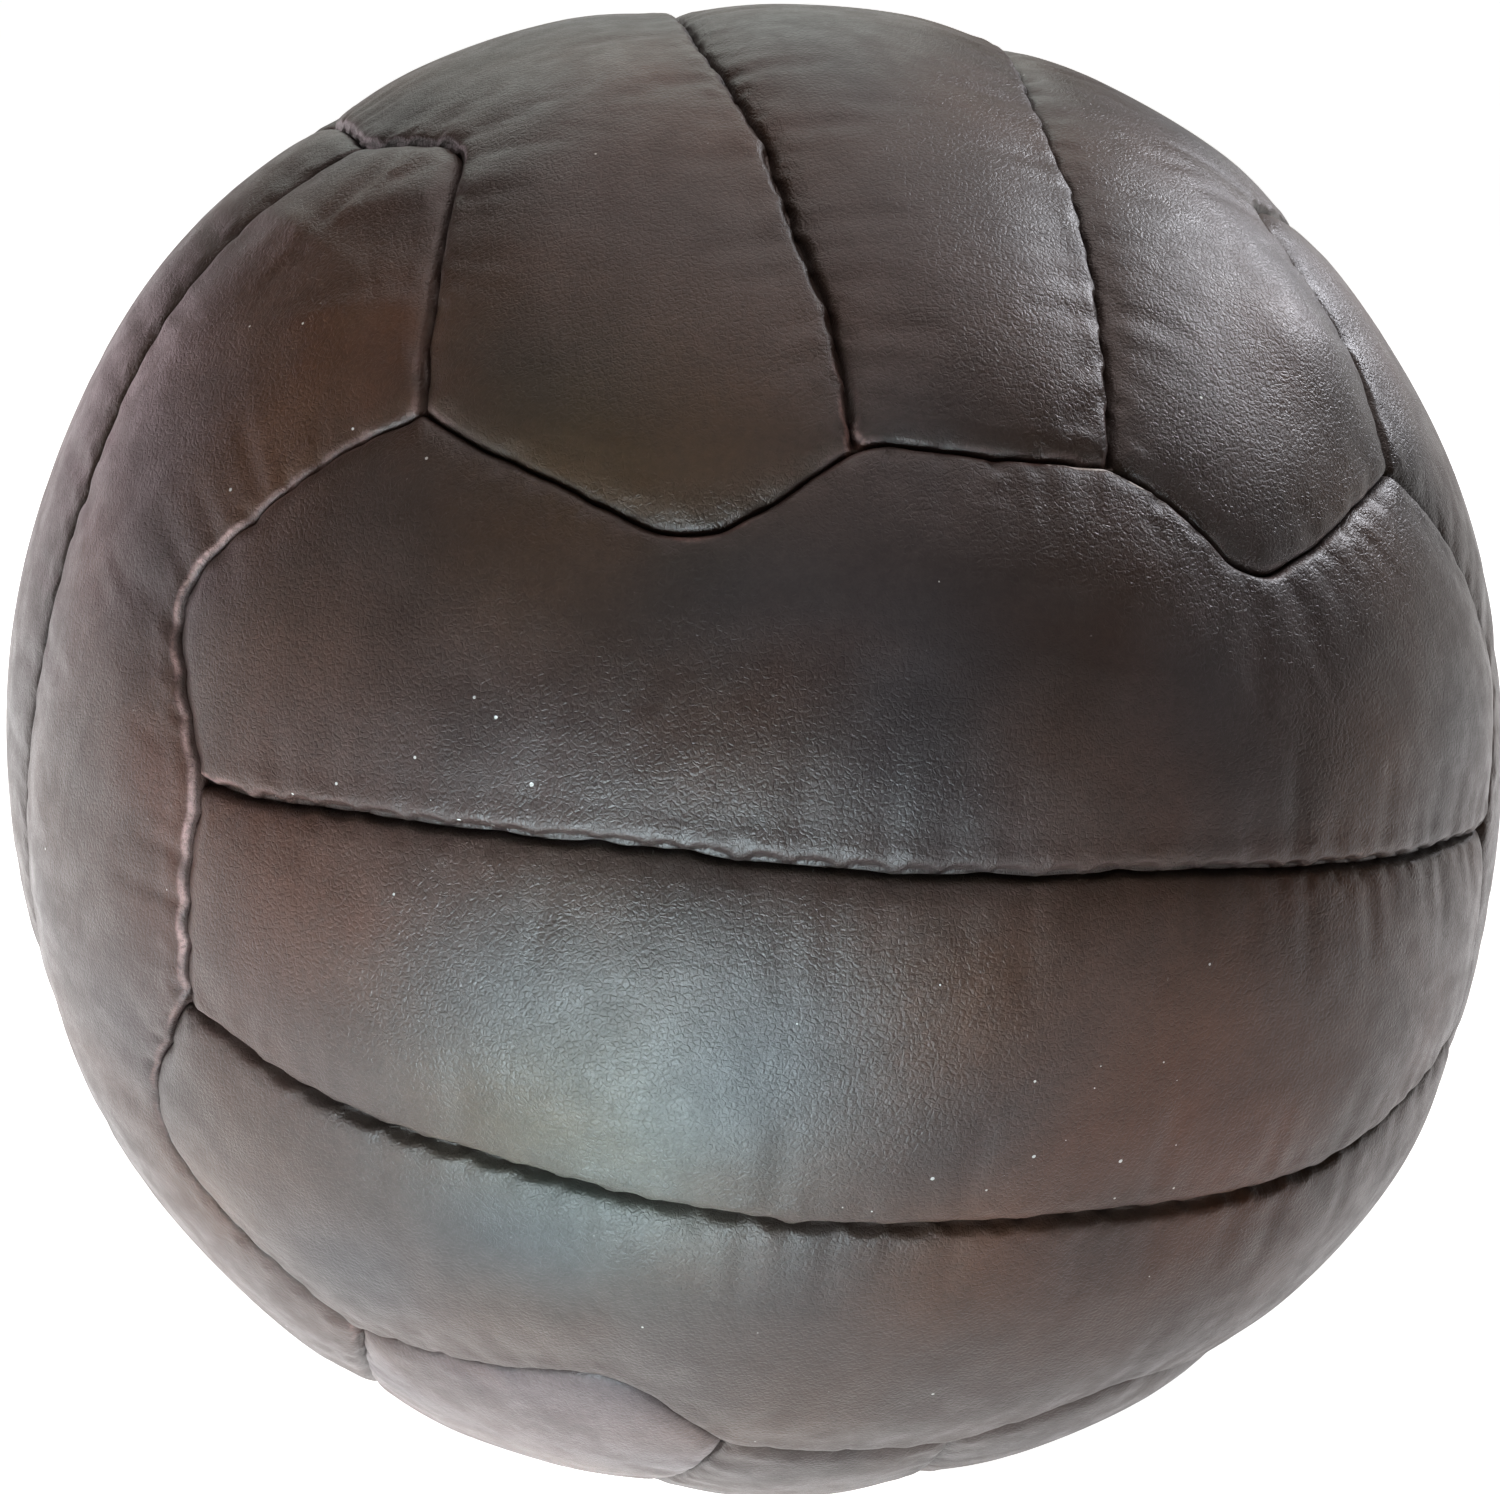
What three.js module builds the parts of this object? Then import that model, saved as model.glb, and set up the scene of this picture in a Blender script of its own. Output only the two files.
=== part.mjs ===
import * as THREE from "three";

// A hand-sewn leather medicine ball, in millimetres, +Z up, standing on z = 0 with its front towards -Y.
// The cover is a cube blown up to a ball: each of its six sides has three strips of leather, and the
// strips of one side end against the long edge of the next side's strips. Every strip is a separate
// panel with its edges turned inwards, and a thread lies along every seam. A cotton bag holds the stuffing.

const BALL_RADIUS = 140; // from the centre to the outside of a panel
const REST_DEPTH = 2; // the bottom panel is pressed flat by this much where the ball stands
const LEATHER = 2.4; // leather with the cotton lining that is glued to it
const SEAM_GAP = 0.4; // between the two turned-in edges of a seam
const GROOVE_DEPTH = 4; // from the outside down to where two panels meet
const LIP_WIDTH = 8; // a panel rounds down to its seam over this width
const LIP_MIDDLE = 2; // place of the row of points between the groove and the lip's top
const SEAM_ALLOWANCE = 5; // turned-in edge below the groove
const THREAD_RADIUS = 0.7;
const THREAD_DEPTH = 2.2; // from the outside down to the middle of a thread
const THREAD_END_GAP = 2.2; // a thread stops this far from the point where seams meet
const BAG_GAP = 1; // between the turned-in edges and the bag
const BAG_CLOTH = 1.2; // thickness of the bag
const STUFFING_GAP = 0.5; // between the bag and the packed stuffing
const BAG_MOUTH_RADIUS = 22; // opening that the ball is stuffed through, under the closing seam at the back
const LATHE_STEPS = 20; // around the bag
const ARC_STEPS = 12; // from one pole of the bag to the other

// The pattern, in degrees. A seam along an edge of the cube is a zigzag: ALONG is the angle from the
// middle of the edge towards its corner, and OVER is how far the seam lies over onto the side whose
// strips run along that edge.
const CORNER = { along: 35.264, over: 0 };
const TIP_OUTER = { along: 20, over: 13.2 };
const TIP_INNER = { along: 17, over: 13.2 };
const JUNCTION = { along: 8, over: 7.5 }; // where a straight seam meets the zigzag
const MIDDLE = { along: 0, over: 7.8 };
const TIP_BULGE = 1; // the long edge from a corner to a tip bends outwards by this much
const CORNER_STEPS = 3; // from a corner to the tip
const MIDDLE_STEPS = 2; // from a junction to the middle of the edge
const STRIP_HALF_WIDTH = 11.8; // of a middle strip, half-way along it

const PULL_FADE = 6; // how fast a strip's rows of points forget the shape of its ends

const FRONT = new THREE.Vector3(0, -1, 0);
const BACK = new THREE.Vector3(0, 1, 0);
const LEFT = new THREE.Vector3(-1, 0, 0);
const RIGHT = new THREE.Vector3(1, 0, 0);
const TOP = new THREE.Vector3(0, 0, 1);
const BOTTOM = new THREE.Vector3(0, 0, -1);

// Each side of the cube: the way it faces, the way its strips run, and its low and high neighbours
// across the strips.
const SIDES = [
  { name: "front", out: FRONT, along: RIGHT, across: TOP, ends: ["bottom", "top"], strips: ["lower", "upper"] },
  { name: "back", out: BACK, along: RIGHT, across: TOP, ends: ["bottom", "top"], strips: ["lower", "upper"] },
  { name: "left", out: LEFT, along: TOP, across: BACK, ends: ["front", "back"], strips: ["front", "back"] },
  { name: "right", out: RIGHT, along: TOP, across: BACK, ends: ["front", "back"], strips: ["front", "back"] },
  { name: "top", out: TOP, along: BACK, across: RIGHT, ends: ["left", "right"], strips: ["left", "right"] },
  { name: "bottom", out: BOTTOM, along: BACK, across: RIGHT, ends: ["left", "right"], strips: ["left", "right"] },
];

const leather = new THREE.MeshStandardMaterial({ color: 0x4b3e38, roughness: 0.5, metalness: 0 });
const thread = new THREE.MeshStandardMaterial({ color: 0xb8ad99, roughness: 0.7, metalness: 0 });
const canvas = new THREE.MeshStandardMaterial({ color: 0xcbbfa4, roughness: 0.9, metalness: 0 });
const textile = new THREE.MeshStandardMaterial({ color: 0x8d8880, roughness: 1, metalness: 0 });

const radians = THREE.MathUtils.degToRad;
const mix = THREE.MathUtils.lerp;

// Sum of the vectors, each times its own number.
function combine(...terms) {
  const sum = new THREE.Vector3();
  for (const [vector, times] of terms) {
    sum.addScaledVector(vector, times);
  }
  return sum;
}

// ---- The seams, as lists of directions from the ball's centre ----

// The zigzag's angles from a corner of the cube to the middle of the edge.
function halfZigzag() {
  const angles = [];
  for (let i = 0; i < CORNER_STEPS; i++) {
    const f = i / CORNER_STEPS;
    const over = mix(CORNER.over, TIP_OUTER.over, f) + 4 * TIP_BULGE * f * (1 - f);
    angles.push({ along: mix(CORNER.along, TIP_OUTER.along, f), over });
  }
  angles.push(TIP_OUTER, TIP_INNER);
  for (let i = 0; i <= MIDDLE_STEPS; i++) {
    const f = i / MIDDLE_STEPS;
    angles.push({ along: mix(JUNCTION.along, MIDDLE.along, f), over: mix(JUNCTION.over, MIDDLE.over, f) });
  }
  return angles;
}

const HALF_ZIGZAG = halfZigzag();
const OTHER_HALF = HALF_ZIGZAG.slice(0, -1).reverse();
// From one corner to the other, in the direction of the edge.
const ZIGZAG = [
  ...HALF_ZIGZAG.map(({ along, over }) => ({ along: -along, over })),
  ...OTHER_HALF,
];
const CORNER_TO_JUNCTION = HALF_ZIGZAG.indexOf(TIP_INNER) + 1; // steps from a corner to a junction

// The seam along the edge between the side that faces a and the side that faces b. The strips of b
// end at it.
function edgeSeam(edge, a, b) {
  return ZIGZAG.map(({ along, over }) => {
    const turn = radians(45 - over);
    const outwards = combine([a, Math.cos(turn)], [b, Math.sin(turn)]);
    return combine([edge, Math.sin(radians(along))], [outwards, Math.cos(radians(along))]);
  });
}

// The seam between the middle strip of a side and the strip on its low (-1) or high (+1) edge.
function straightSeam(side, sign) {
  const reach = 45 + JUNCTION.over;
  return ZIGZAG.map(({ along }) => {
    const f = along / CORNER.along;
    const lengthwise = radians(reach * f);
    const sideways = radians(mix(STRIP_HALF_WIDTH, JUNCTION.along, f * f));
    return combine(
      [side.out, Math.cos(sideways) * Math.cos(lengthwise)],
      [side.along, Math.cos(sideways) * Math.sin(lengthwise)],
      [side.across, sign * Math.sin(sideways)],
    );
  });
}

// The seam that the strips of a side end at, at the start (-1) or the far end (+1) of the strips. It
// runs across them.
function endSeam(side, sign) {
  return edgeSeam(side.across, side.along.clone().multiplyScalar(sign), side.out);
}

// ---- The outlines of the panels ----

// A panel's outline has four edges: low and high run along the strip, start and end across it.
function middleOutline(side) {
  const first = CORNER_TO_JUNCTION;
  const last = ZIGZAG.length - CORNER_TO_JUNCTION;
  return {
    low: straightSeam(side, -1),
    high: straightSeam(side, 1),
    start: endSeam(side, -1).slice(first, last),
    end: endSeam(side, 1).slice(first, last),
  };
}

function outerOutline(side, sign) {
  const first = ZIGZAG.length - 1 - CORNER_TO_JUNCTION;
  const outwards = side.across.clone().multiplyScalar(sign);
  const half = (seam) => (sign > 0 ? seam.slice(first) : seam.slice(0, CORNER_TO_JUNCTION + 1).reverse());
  return {
    low: straightSeam(side, sign),
    high: edgeSeam(side.along, side.out, outwards),
    start: half(endSeam(side, -1)),
    end: half(endSeam(side, 1)),
  };
}

// The outline as one closed loop: along low, up end, back along high and down start.
function loopOf({ low, high, start, end }) {
  return [
    ...low.slice(0, -1),
    ...end.slice(0, -1),
    ...[...high].reverse().slice(0, -1),
    ...[...start].reverse().slice(0, -1),
  ];
}

// The four edges again, from a closed loop of as many points.
function outlineOf(loop, { low, start }) {
  const n = low.length - 1;
  const m = start.length - 1;
  const ring = [...loop, loop[0]];
  return {
    low: ring.slice(0, n + 1),
    end: ring.slice(n, n + m + 1),
    high: ring.slice(n + m, 2 * n + m + 1).reverse(),
    start: ring.slice(2 * n + m).reverse(),
  };
}

// The loop moved inwards over the ball by a distance, with mitred corners. Turn is +1 for a loop that
// runs anticlockwise seen from outside, and -1 for its mirror image.
function inset(loop, distance, turn) {
  return loop.map((point, i) => {
    const before = loop[(i + loop.length - 1) % loop.length];
    const after = loop[(i + 1) % loop.length];
    const inwards = [point.clone().sub(before), after.clone().sub(point)].map((step) =>
      point.clone().cross(step).normalize().multiplyScalar(turn),
    );
    const mitre = inwards[0].clone().add(inwards[1]);
    const reach = distance / BALL_RADIUS / (1 + inwards[0].dot(inwards[1]));
    return combine([point, 1], [mitre, reach]).normalize();
  });
}

// How far along its whole length each point of a row is, from 0 to 1.
function fractions(row) {
  const sums = [0];
  for (let i = 1; i < row.length; i++) {
    sums.push(sums[i - 1] + row[i].distanceTo(row[i - 1]));
  }
  return sums.map((sum) => sum / sums[sums.length - 1]);
}

// Rows of directions that fill an outline. Each row is a blend of the low and high edges, pulled over
// to the start and end edges. The pull fades away from them.
function fill({ low, high, start, end }) {
  const along = fractions(low);
  const across = fractions(start);
  const last = low.length - 1;
  const blend = (i, v) => combine([low[i], 1 - v], [high[i], v]);
  return across.map((v, j) => {
    const startPull = start[j].clone().sub(blend(0, v));
    const endPull = end[j].clone().sub(blend(last, v));
    return along.map((u, i) =>
      combine([blend(i, v), 1], [startPull, (1 - u) ** PULL_FADE], [endPull, u ** PULL_FADE]).normalize(),
    );
  });
}

// ---- Solids from rows of points ----

// Three points for each triangle, joining two rows that have as many points.
function joinRows(triangles, row, next) {
  for (let i = 1; i < row.length; i++) {
    triangles.push(row[i - 1], row[i], next[i]);
    triangles.push(row[i - 1], next[i], next[i - 1]);
  }
}

const close = (loop) => [...loop, loop[0]];

function meshOf(name, triangles, material, turn = 1) {
  const points = [...triangles];
  if (turn < 0) {
    points.reverse();
  }
  const geometry = new THREE.BufferGeometry().setFromPoints(points);
  geometry.computeVertexNormals();
  const mesh = new THREE.Mesh(geometry, material);
  mesh.name = name;
  return mesh;
}

const atRadius = (radius) => (direction) => direction.clone().multiplyScalar(radius);

// Points below this height, from the ball's centre, are pressed up to it.
const pressedTo = (height) => (point) => new THREE.Vector3(point.x, point.y, Math.max(point.z, height));

// ---- The pieces ----

// One strip of leather. Its section runs from the underside down the inner face of the turned-in edge,
// under that edge and up its outer face, and over the rounded lip to the outside.
function panel(name, side, outline) {
  const turn = Math.sign(side.along.clone().cross(side.across).dot(side.out)) * outline.turn;
  const loop = inset(loopOf(outline), SEAM_GAP / 2, turn);
  const inner = inset(loop, LEATHER, turn);
  const lipMiddle = inset(loop, LIP_MIDDLE, turn);
  const lipTop = inset(loop, LIP_WIDTH, turn);

  const grooveRadius = BALL_RADIUS - GROOVE_DEPTH;
  const lipSlope = Math.sqrt(1 - (1 - LIP_MIDDLE / LIP_WIDTH) ** 2);
  const restHeight = REST_DEPTH - BALL_RADIUS;
  const undersideEdge = inner.map(atRadius(grooveRadius - (LEATHER * LIP_MIDDLE) / LIP_WIDTH));
  const sections = [
    undersideEdge,
    inner.map(atRadius(grooveRadius - SEAM_ALLOWANCE)),
    loop.map(atRadius(grooveRadius - SEAM_ALLOWANCE)),
    loop.map(atRadius(grooveRadius)),
    lipMiddle.map(atRadius(mix(grooveRadius, BALL_RADIUS, lipSlope))),
    lipTop.map(atRadius(BALL_RADIUS)).map(pressedTo(restHeight)),
  ];
  const triangles = [];
  for (let i = 1; i < sections.length; i++) {
    joinRows(triangles, close(sections[i - 1]), close(sections[i]));
  }

  const outside = fill(outlineOf(lipTop, outline)).map((row) =>
    row.map(atRadius(BALL_RADIUS)).map(pressedTo(restHeight)),
  );
  const underside = fill(outlineOf(inner, outline)).map((row) =>
    row.map(atRadius(BALL_RADIUS - LEATHER)).map(pressedTo(restHeight + LEATHER)),
  );
  fitEdge(underside, outlineOf(undersideEdge, outline));
  for (let i = 1; i < outside.length; i++) {
    joinRows(triangles, outside[i - 1], outside[i]);
    joinRows(triangles, underside[i], underside[i - 1]);
  }
  return meshOf(name, triangles, leather, turn);
}

// Puts the points of an outline in place of the outermost points of a grid of rows.
function fitEdge(rows, { low, high, start, end }) {
  rows.forEach((row, i) => {
    row[0] = start[i];
    row[row.length - 1] = end[i];
  });
  rows[0] = low;
  rows[rows.length - 1] = high;
}

// A thread with a square section along a seam, stopped short of the seams that it meets.
function seamThread(name, seam) {
  const radius = BALL_RADIUS - THREAD_DEPTH;
  const path = seam.map(atRadius(radius));
  const last = path.length - 1;
  const shorten = (end, next) => end.clone().sub(next).setLength(end.distanceTo(next) - THREAD_END_GAP).add(next);
  path[0] = shorten(path[0], path[1]);
  path[last] = shorten(path[last], path[last - 1]);
  const sections = path.map((point, i) => {
    const ahead = path[Math.min(i + 1, last)].clone().sub(path[Math.max(i - 1, 0)]);
    const up = point.clone().setLength(THREAD_RADIUS);
    const sideways = ahead.cross(point).setLength(THREAD_RADIUS);
    return [
      combine([point, 1], [up, 1]),
      combine([point, 1], [sideways, 1]),
      combine([point, 1], [up, -1]),
      combine([point, 1], [sideways, -1]),
    ];
  });
  const triangles = [];
  for (let i = 1; i < sections.length; i++) {
    joinRows(triangles, close(sections[i - 1]), close(sections[i]));
  }
  const [a, b, c, d] = sections[0];
  joinRows(triangles, [d, c], [a, b]);
  const [e, f, g, h] = sections[last];
  joinRows(triangles, [e, f], [h, g]);
  return meshOf(name, triangles, thread);
}

const BAG_RADIUS = BALL_RADIUS - GROOVE_DEPTH - SEAM_ALLOWANCE - BAG_GAP;

// Points from the -Y pole of a sphere to the rim of the bag's mouth, around its +Y pole.
function arcToMouth(radius) {
  const mouth = Math.asin(BAG_MOUTH_RADIUS / BAG_RADIUS);
  const points = [new THREE.Vector2(0, -radius)];
  for (let i = 1; i <= ARC_STEPS; i++) {
    const angle = mix(-Math.PI / 2, Math.PI / 2 - mouth, i / ARC_STEPS);
    points.push(new THREE.Vector2(radius * Math.cos(angle), radius * Math.sin(angle)));
  }
  return points;
}

function latheMesh(name, profile, material) {
  const mesh = new THREE.Mesh(new THREE.LatheGeometry(profile, LATHE_STEPS), material);
  mesh.name = name;
  return mesh;
}

// The cotton bag, open at the mouth where the stuffing goes in.
function innerBag() {
  const outside = arcToMouth(BAG_RADIUS);
  const inside = arcToMouth(BAG_RADIUS - BAG_CLOTH).reverse();
  return latheMesh("inner_bag", [...outside, ...inside], canvas);
}

function stuffing() {
  const radius = BAG_RADIUS - BAG_CLOTH - STUFFING_GAP;
  const pole = new THREE.Vector2(0, radius);
  return latheMesh("textile_stuffing", [...arcToMouth(radius), pole], textile);
}

// ---- The ball ----

const ball = new THREE.Group();
ball.position.z = BALL_RADIUS - REST_DEPTH;

for (const side of SIDES) {
  ball.add(panel(`panel_${side.name}_middle`, side, { ...middleOutline(side), turn: 1 }));
  for (const [i, sign] of [-1, 1].entries()) {
    const neighbour = side.across.clone().multiplyScalar(sign);
    ball.add(panel(`panel_${side.name}_${side.strips[i]}`, side, { ...outerOutline(side, sign), turn: sign }));
    ball.add(seamThread(`strip_thread_${side.name}_${side.strips[i]}`, straightSeam(side, sign)));
    ball.add(seamThread(`edge_thread_${side.name}_${side.ends[i]}`, edgeSeam(side.along, side.out, neighbour)));
  }
}
ball.add(innerBag(), stuffing());

export default ball;
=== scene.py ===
"""Looks of a hand-sewn, stuffed leather medicine ball, in metres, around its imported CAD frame.

The cover is the CAD's pattern again with a fine surface: eighteen leather strips, three to a side of a
cube that is blown up to a ball. Each strip swells between its seams, rounds down into them, and is
pinched at every stitch. Lengths named _MM are in millimetres, and angles are in degrees.
"""

import math

import bpy
import numpy as np
from mathutils import Matrix, Vector


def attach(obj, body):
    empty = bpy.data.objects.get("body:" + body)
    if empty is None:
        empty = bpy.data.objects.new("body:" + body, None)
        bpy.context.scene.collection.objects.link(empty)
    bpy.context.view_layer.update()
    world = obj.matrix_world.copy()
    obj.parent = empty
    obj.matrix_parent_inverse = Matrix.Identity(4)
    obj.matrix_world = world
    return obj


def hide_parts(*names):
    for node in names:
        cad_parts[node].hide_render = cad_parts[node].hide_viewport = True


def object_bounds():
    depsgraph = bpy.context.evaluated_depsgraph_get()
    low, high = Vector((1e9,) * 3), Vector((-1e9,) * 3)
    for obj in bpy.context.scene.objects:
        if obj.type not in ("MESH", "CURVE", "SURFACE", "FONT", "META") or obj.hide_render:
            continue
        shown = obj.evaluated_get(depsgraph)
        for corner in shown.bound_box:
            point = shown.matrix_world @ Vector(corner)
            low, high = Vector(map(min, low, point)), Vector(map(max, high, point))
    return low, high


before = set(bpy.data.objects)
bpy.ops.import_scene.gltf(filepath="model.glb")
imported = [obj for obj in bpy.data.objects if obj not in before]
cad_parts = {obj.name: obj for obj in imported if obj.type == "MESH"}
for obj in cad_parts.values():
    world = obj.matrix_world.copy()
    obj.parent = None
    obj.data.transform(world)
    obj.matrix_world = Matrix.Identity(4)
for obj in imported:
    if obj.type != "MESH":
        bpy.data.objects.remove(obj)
CAD_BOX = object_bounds()

MM = 0.001
CAD_LOW, CAD_HIGH = (np.array(corner, float) for corner in CAD_BOX)
RADIUS_MM = (CAD_HIGH[0] - CAD_LOW[0]) / 2 / MM
CENTRE = np.array([0.0, 0.0, CAD_HIGH[2] - RADIUS_MM * MM])
FLOOR_MM = (CAD_LOW[2] - CENTRE[2]) / MM  # the floor, from the ball's centre

# The pattern, as in the CAD. ALONG runs from the middle of a cube edge to its corner, and OVER is how
# far the zigzag seam lies over onto the side whose strips run along that edge.
CORNER = (35.264, 0.0)
TIP_OUTER = (20.0, 13.2)
TIP_INNER = (17.0, 13.2)
JUNCTION = (8.0, 7.5)
MIDDLE = (0.0, 7.8)
TIP_BULGE = 1.0
STRIP_HALF_WIDTH = 11.8
PULL_FADE = 6
ROUNDING = 2.6  # the zigzag's corners are rounded over this angle

FRONT, BACK = np.array([0, -1, 0]), np.array([0, 1, 0])
LEFT, RIGHT = np.array([-1, 0, 0]), np.array([1, 0, 0])
BOTTOM, TOP = np.array([0, 0, -1]), np.array([0, 0, 1])

# Each side of the cube: its name, the way it faces, the way its strips run, the way across them, the
# names of its low and high neighbours across the strips, and of its low and high outer strips.
SIDES = (
    ("front", FRONT, RIGHT, TOP, ("bottom", "top"), ("lower", "upper")),
    ("back", BACK, RIGHT, TOP, ("bottom", "top"), ("lower", "upper")),
    ("left", LEFT, TOP, BACK, ("front", "back"), ("front", "back")),
    ("right", RIGHT, TOP, BACK, ("front", "back"), ("front", "back")),
    ("top", TOP, BACK, RIGHT, ("left", "right"), ("left", "right")),
    ("bottom", BOTTOM, BACK, RIGHT, ("left", "right"), ("left", "right")),
)

# The leather.
SEAM_STEP_MM = 0.35  # between points at a seam
LONG_STEP_MM = 0.65  # between points along a strip
STRIP_WIDTH_MM = 60
WIDE_STEP_MM = 1.3  # between points across a strip, away from its seams
LEATHER_MM = 2.4
SEAM_GAP_MM = 0.2
GROOVE_MM = 1.9  # from the swollen leather down to where two strips meet
LIP_MM = 1.2  # the radius that a strip's edge turns in with
SHOULDER_MM = 0.5  # the broad slope to a seam
SHOULDER_WIDTH_MM = 10.0
TUCK_MM = 1.7  # the steep slope of the lower of two lips
TUCK_WIDTH_MM = 3.4
TUCK_LEVEL, TUCK_LEAN = 0.25, 0.6  # its share where the two lips are level, and what a full lean changes
FLANGE_MM = RADIUS_MM - 8.6  # the inner end of the turned-in edges, from the ball's centre
STITCH_MM = 7.3
PINCH_MM = 1.3  # half the width of the dent at a stitch
GAPE_MM = 1.0  # how far an edge draws back between its stitches at an open seam
SWAY_WIDTH_MM, SWAY_REACH_MM = 2.8, 3.0  # how a stitch tugs the seam sideways, along it and away from it

# The relief beside a seam: heights, the distance from the seam where each is or fades, widths and pitches.
DENT_MM, DENT_REACH_MM = 0.75, 2.2  # a stitch pulls the edge down
LOBE_MM, LOBE_AT_MM, LOBE_WIDTH_MM = 0.22, 4.0, 1.3  # and heaps the leather up behind it
ROLL_MM, ROLL_AT_MM, ROLL_WIDTH_MM = 0.12, 2.6, 2.0  # the upper lip's edge is rolled
CREASE_MM, CREASE_REACH_MM, CREASE_PITCH_MM, CREASE_SKEW = 0.10, 5.5, 1.7, 0.15
FOLD_MM, FOLD_REACH_MM, FOLD_PITCH_MM, FOLD_SKEW = 0.13, 7, 4.6, -0.1
GATHER_SHARE, GATHER_START_MM = 0.85, 6  # a gather's folds begin this far from the seam
GATHER_REACH_MM, GATHER_MORE_REACH_MM = 6, 20

# Wear beside a seam: its strength, how far from the edge it is, and how wide. Last, the width of the
# painted shade in the seam's groove.
RUB_STRENGTH, RUB_AT_MM, RUB_WIDTH_MM = 1.5, 0.6, 0.4
FRAY_STRENGTH, FRAY_AT_MM, FRAY_WIDTH_MM = 2.2, 0.5, 0.45
SEAM_SHADE_WIDTH_MM = 1.0

# Unevenness that is the same kind all over: heights and the sizes of its features.
WANDER_MM, WANDER_SIZE_MM = 1.1, 95  # of the seams
UNEVEN_MM, UNEVEN_SIZE_MM = 0.55, 78  # of the outline

# Seeds of the noise. The ones for a seam are added to its own.
WANDER_SEEDS = (11, 12, 13)
UNEVEN_SEED = 21
RUB_SEED, FRAY_SEED = 31, 32
WARM_SEED, TONE_SEED = 41, 42
LEAN_SEED, STRENGTH_SEED, CREASED_SEED, CREASE_SEED, FOLD_SEED = 50, 51, 52, 53, 54
BAG_SEEDS, SCRAP_SEEDS = (61, 62), (63, 64)
FIRST_SEAM_SEED = 100

# The stuffing's pressure, worked out by one cloth simulation of the whole cover. It runs ten times larger
# than life on a coarse grid, and the leather takes this share of its swelling.
CLOTH_COLUMNS, CLOTH_ROWS = 81, 23
CLOTH_UNITS_PER_MM = 0.01
CLOTH_FRAMES = 16
CLOTH_STIFFNESS = 40
CLOTH_BENDING = 0.5
CLOTH_QUALITY = 6
CLOTH_PRESSURE = 4
CLOTH_SLACK = 0.04  # how much larger the leather is cut than the space between its seams
CLOTH_SHARE = 0.22
CLOTH_LIMIT_MM = 4.0
STEADY_SWELL_MM = 2.9  # in the middle of a strip
SWELL_MM = STEADY_SWELL_MM * CLOTH_SHARE  # what the leather takes of it

# Where hand cutting and sewing strays from the pattern: a place, how far the leather lies from where the
# pattern has it in mm, and the reach of that in mm.
STRAYS = (
    ((-0.68, -0.57, -0.47), (0.9, -2.6, 1.8), 20),
    ((-0.58, -0.60, -0.56), (-0.8, -2.6, 2.8), 16),
    ((-0.25, -0.82, -0.52), (1.1, -1.5, 1.8), 14),
    ((0.02, -0.79, -0.61), (0.0, 1.4, -2.0), 20),
    ((0.36, -0.76, -0.54), (0.2, 1.6, -2.6), 24),
    ((-0.52, -0.38, 0.76), (-1.6, 0.8, -0.6), 20),
    ((-0.62, 0.12, 0.78), (-2.0, 0.0, -1.6), 20),
    ((-0.57, -0.59, 0.57), (1.4, -1.4, -0.1), 10),
    ((0.57, -0.49, 0.67), (1.6, 1.1, -0.5), 16),
    ((0.57, -0.59, 0.58), (-2.0, -2.1, -0.4), 12),
    ((0.47, -0.32, 0.82), (-4.6, 0.1, 2.8), 20),
    ((-0.78, -0.12, 0.61), (-1.2, 5.8, 0.0), 40),
    ((-0.22, -0.27, 0.93), (-3.9, 0.1, -0.8), 32),
    ((-0.15, -0.70, 0.70), (1.8, 0.0, 0.4), 18),
    ((0.17, -0.30, 0.94), (-5.2, 0.0, 1.0), 34),
    ((-0.77, -0.63, -0.13), (0.0, -0.8, 4.3), 22),
    ((0.40, -0.88, -0.20), (0.0, 0.4, -2.2), 42),
    ((-0.81, -0.54, -0.22), (-0.8, 0.9, 0.6), 12),
    ((-0.41, -0.75, 0.52), (0.7, 0.5, 1.2), 16),
    ((-0.22, -0.80, 0.55), (0.6, -0.9, -1.0), 12),
    ((0.22, -0.80, 0.56), (0.7, 0.8, 0.9), 14),
)

# Where years of use have left the ball out of round: a place, the reach and the height in mm.
BULGES = (
    ((-0.77, 0.12, 0.63), 62, 2.3),
    ((0.64, -0.63, -0.44), 56, 3.2),
    ((0.09, 0.01, 1.00), 52, -0.9),
    ((0.45, -0.12, 0.88), 34, 1.2),
    ((-0.61, 0.13, 0.78), 30, 1.2),
    ((0.43, -0.56, 0.71), 13, 1.8),
    ((-0.36, -0.48, -0.80), 45, -1.3),
    ((0.86, -0.47, 0.20), 36, -1.0),
)

# Where long wrinkles gather at a seam: a place, the reach in mm and the depth in mm.
GATHERS = (
    ((-0.62, -0.33, 0.70), 26, 1.3),
    ((-0.84, -0.50, 0.05), 34, 0.30),
    ((-0.80, -0.50, -0.33), 30, 0.35),
    ((0.30, -0.85, 0.42), 20, 0.25),
    ((-0.35, -0.80, -0.45), 30, 0.30),
    ((0.75, 0.45, 0.45), 30, 0.55),
    ((-0.45, 0.80, -0.35), 34, 0.50),
    ((0.35, 0.78, 0.52), 30, 0.45),
)

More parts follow.
